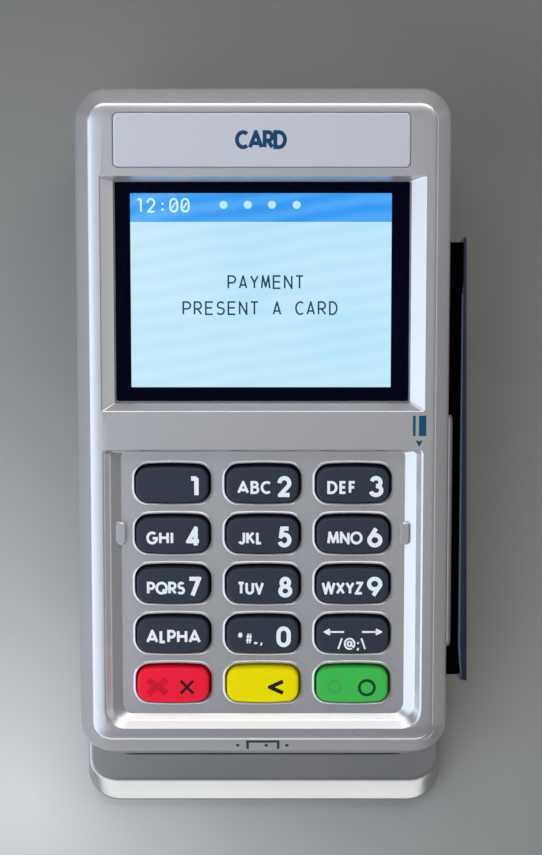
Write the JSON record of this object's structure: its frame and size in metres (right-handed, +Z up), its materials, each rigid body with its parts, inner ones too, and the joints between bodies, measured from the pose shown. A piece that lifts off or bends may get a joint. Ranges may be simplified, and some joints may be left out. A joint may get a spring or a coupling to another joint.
{
  "type": "card payment terminal",
  "caption": "Wedge-shaped countertop card payment terminal with a colour display, a sprung number pad, a chip card mouth under the nose and a card swipe rail along the right side.",
  "frame": {"origin": "centre of the bounding box in plan, at the bottoms of the rubber feet", "axes": "+Z up, +Y towards the rear of the terminal, away from the person using it, +X to the right, towards the swipe rail"},
  "size_m": [0.0856, 0.158, 0.0398],
  "materials": {
    "silver_cover": "silver-grey painted moulding, satin with a fine metallic grain",
    "silver_base": "the same silver-grey paint on the lower moulding",
    "name_plate": "smooth lavender-grey printed plate",
    "display_glass": "clear window with a black printed border",
    "lcd": "lit pale blue picture with a blue bar along its top",
    "pressed_steel": "plain pressed sheet",
    "circuit_board": "green solder mask on glass fibre",
    "silicone": "grey silicone",
    "polyester_film": "amber film",
    "black_moulding": "black engineering plastic",
    "gilt_contacts": "gilt spring contacts in their carrier",
    "steel": "bright steel",
    "rubber_foot": "black rubber",
    "black_rail": "glossy black moulding",
    "slate_key": "dark slate key with off-white legends",
    "red_key": "red key with dark legend and a textured cross",
    "yellow_key": "yellow key with a black chevron",
    "green_key": "green key with a dark ring"
  },
  "bodies": {
    "terminal": {"top_cover": "silver_cover", "bottom_cover": "silver_base", "name_plate": "name_plate", "display_window": "display_glass", "lcd_panel": "lcd", "lcd_frame": "pressed_steel", "contactless_antenna": "circuit_board", "keypad_mat": "silicone", "dome_sheet": "polyester_film", "main_board": "circuit_board", "chip_reader": "black_moulding", "chip_contacts": "gilt_contacts", "sam_socket": "black_moulding", "coin_cell_holder": "black_moulding", "coin_cell": "steel", "sounder": "black_moulding", "cable_socket": "black_moulding", "swipe_rail": "black_rail", "head_spring": "steel", "screw_front_left": "steel", "screw_front_right": "steel", "screw_rear_left": "steel", "screw_rear_right": "steel", "foot_front_left": "rubber_foot", "foot_front_right": "rubber_foot", "foot_rear_left": "rubber_foot", "foot_rear_right": "rubber_foot"},
    "key_1_body": {"key_1": "slate_key"},
    "key_2_body": {"key_2": "slate_key"},
    "key_3_body": {"key_3": "slate_key"},
    "key_4_body": {"key_4": "slate_key"},
    "key_5_body": {"key_5": "slate_key"},
    "key_6_body": {"key_6": "slate_key"},
    "key_7_body": {"key_7": "slate_key"},
    "key_8_body": {"key_8": "slate_key"},
    "key_9_body": {"key_9": "slate_key"},
    "key_alpha_body": {"key_alpha": "slate_key"},
    "key_0_body": {"key_0": "slate_key"},
    "key_arrows_body": {"key_arrows": "slate_key"},
    "key_cancel_body": {"key_cancel": "red_key"},
    "key_clear_body": {"key_clear": "yellow_key"},
    "key_enter_body": {"key_enter": "green_key"},
    "read_head": {"magnetic_head": "steel"}
  },
  "joints": [
    {"name": "key_1_press", "type": "slide", "parent": "terminal", "child": "key_1_body", "axis": [0, 0.1132, -0.9936], "range_m": [0, 0.0012], "stiffness_N_per_m": 450, "springref_m": -0.0003},
    {"name": "key_2_press", "type": "slide", "parent": "terminal", "child": "key_2_body", "axis": [0, 0.1132, -0.9936], "range_m": [0, 0.0012], "stiffness_N_per_m": 450, "springref_m": -0.0003},
    {"name": "key_3_press", "type": "slide", "parent": "terminal", "child": "key_3_body", "axis": [0, 0.1132, -0.9936], "range_m": [0, 0.0012], "stiffness_N_per_m": 450, "springref_m": -0.0003},
    {"name": "key_4_press", "type": "slide", "parent": "terminal", "child": "key_4_body", "axis": [0, 0.1132, -0.9936], "range_m": [0, 0.0012], "stiffness_N_per_m": 450, "springref_m": -0.0003},
    {"name": "key_5_press", "type": "slide", "parent": "terminal", "child": "key_5_body", "axis": [0, 0.1132, -0.9936], "range_m": [0, 0.0012], "stiffness_N_per_m": 450, "springref_m": -0.0003},
    {"name": "key_6_press", "type": "slide", "parent": "terminal", "child": "key_6_body", "axis": [0, 0.1132, -0.9936], "range_m": [0, 0.0012], "stiffness_N_per_m": 450, "springref_m": -0.0003},
    {"name": "key_7_press", "type": "slide", "parent": "terminal", "child": "key_7_body", "axis": [0, 0.1132, -0.9936], "range_m": [0, 0.0012], "stiffness_N_per_m": 450, "springref_m": -0.0003},
    {"name": "key_8_press", "type": "slide", "parent": "terminal", "child": "key_8_body", "axis": [0, 0.1132, -0.9936], "range_m": [0, 0.0012], "stiffness_N_per_m": 450, "springref_m": -0.0003},
    {"name": "key_9_press", "type": "slide", "parent": "terminal", "child": "key_9_body", "axis": [0, 0.1132, -0.9936], "range_m": [0, 0.0012], "stiffness_N_per_m": 450, "springref_m": -0.0003},
    {"name": "key_alpha_press", "type": "slide", "parent": "terminal", "child": "key_alpha_body", "axis": [0, 0.1132, -0.9936], "range_m": [0, 0.0012], "stiffness_N_per_m": 450, "springref_m": -0.0003},
    {"name": "key_0_press", "type": "slide", "parent": "terminal", "child": "key_0_body", "axis": [0, 0.1132, -0.9936], "range_m": [0, 0.0012], "stiffness_N_per_m": 450, "springref_m": -0.0003},
    {"name": "key_arrows_press", "type": "slide", "parent": "terminal", "child": "key_arrows_body", "axis": [0, 0.1132, -0.9936], "range_m": [0, 0.0012], "stiffness_N_per_m": 450, "springref_m": -0.0003},
    {"name": "key_cancel_press", "type": "slide", "parent": "terminal", "child": "key_cancel_body", "axis": [0, 0.1132, -0.9936], "range_m": [0, 0.0012], "stiffness_N_per_m": 450, "springref_m": -0.0003},
    {"name": "key_clear_press", "type": "slide", "parent": "terminal", "child": "key_clear_body", "axis": [0, 0.1132, -0.9936], "range_m": [0, 0.0012], "stiffness_N_per_m": 450, "springref_m": -0.0003},
    {"name": "key_enter_press", "type": "slide", "parent": "terminal", "child": "key_enter_body", "axis": [0, 0.1132, -0.9936], "range_m": [0, 0.0012], "stiffness_N_per_m": 450, "springref_m": -0.0003},
    {"name": "read_head_float", "type": "slide", "parent": "terminal", "child": "read_head", "axis": [-1, 0, 0], "range_m": [0, 0.0008], "stiffness_N_per_m": 300, "springref_m": -0.0004}
  ]
}
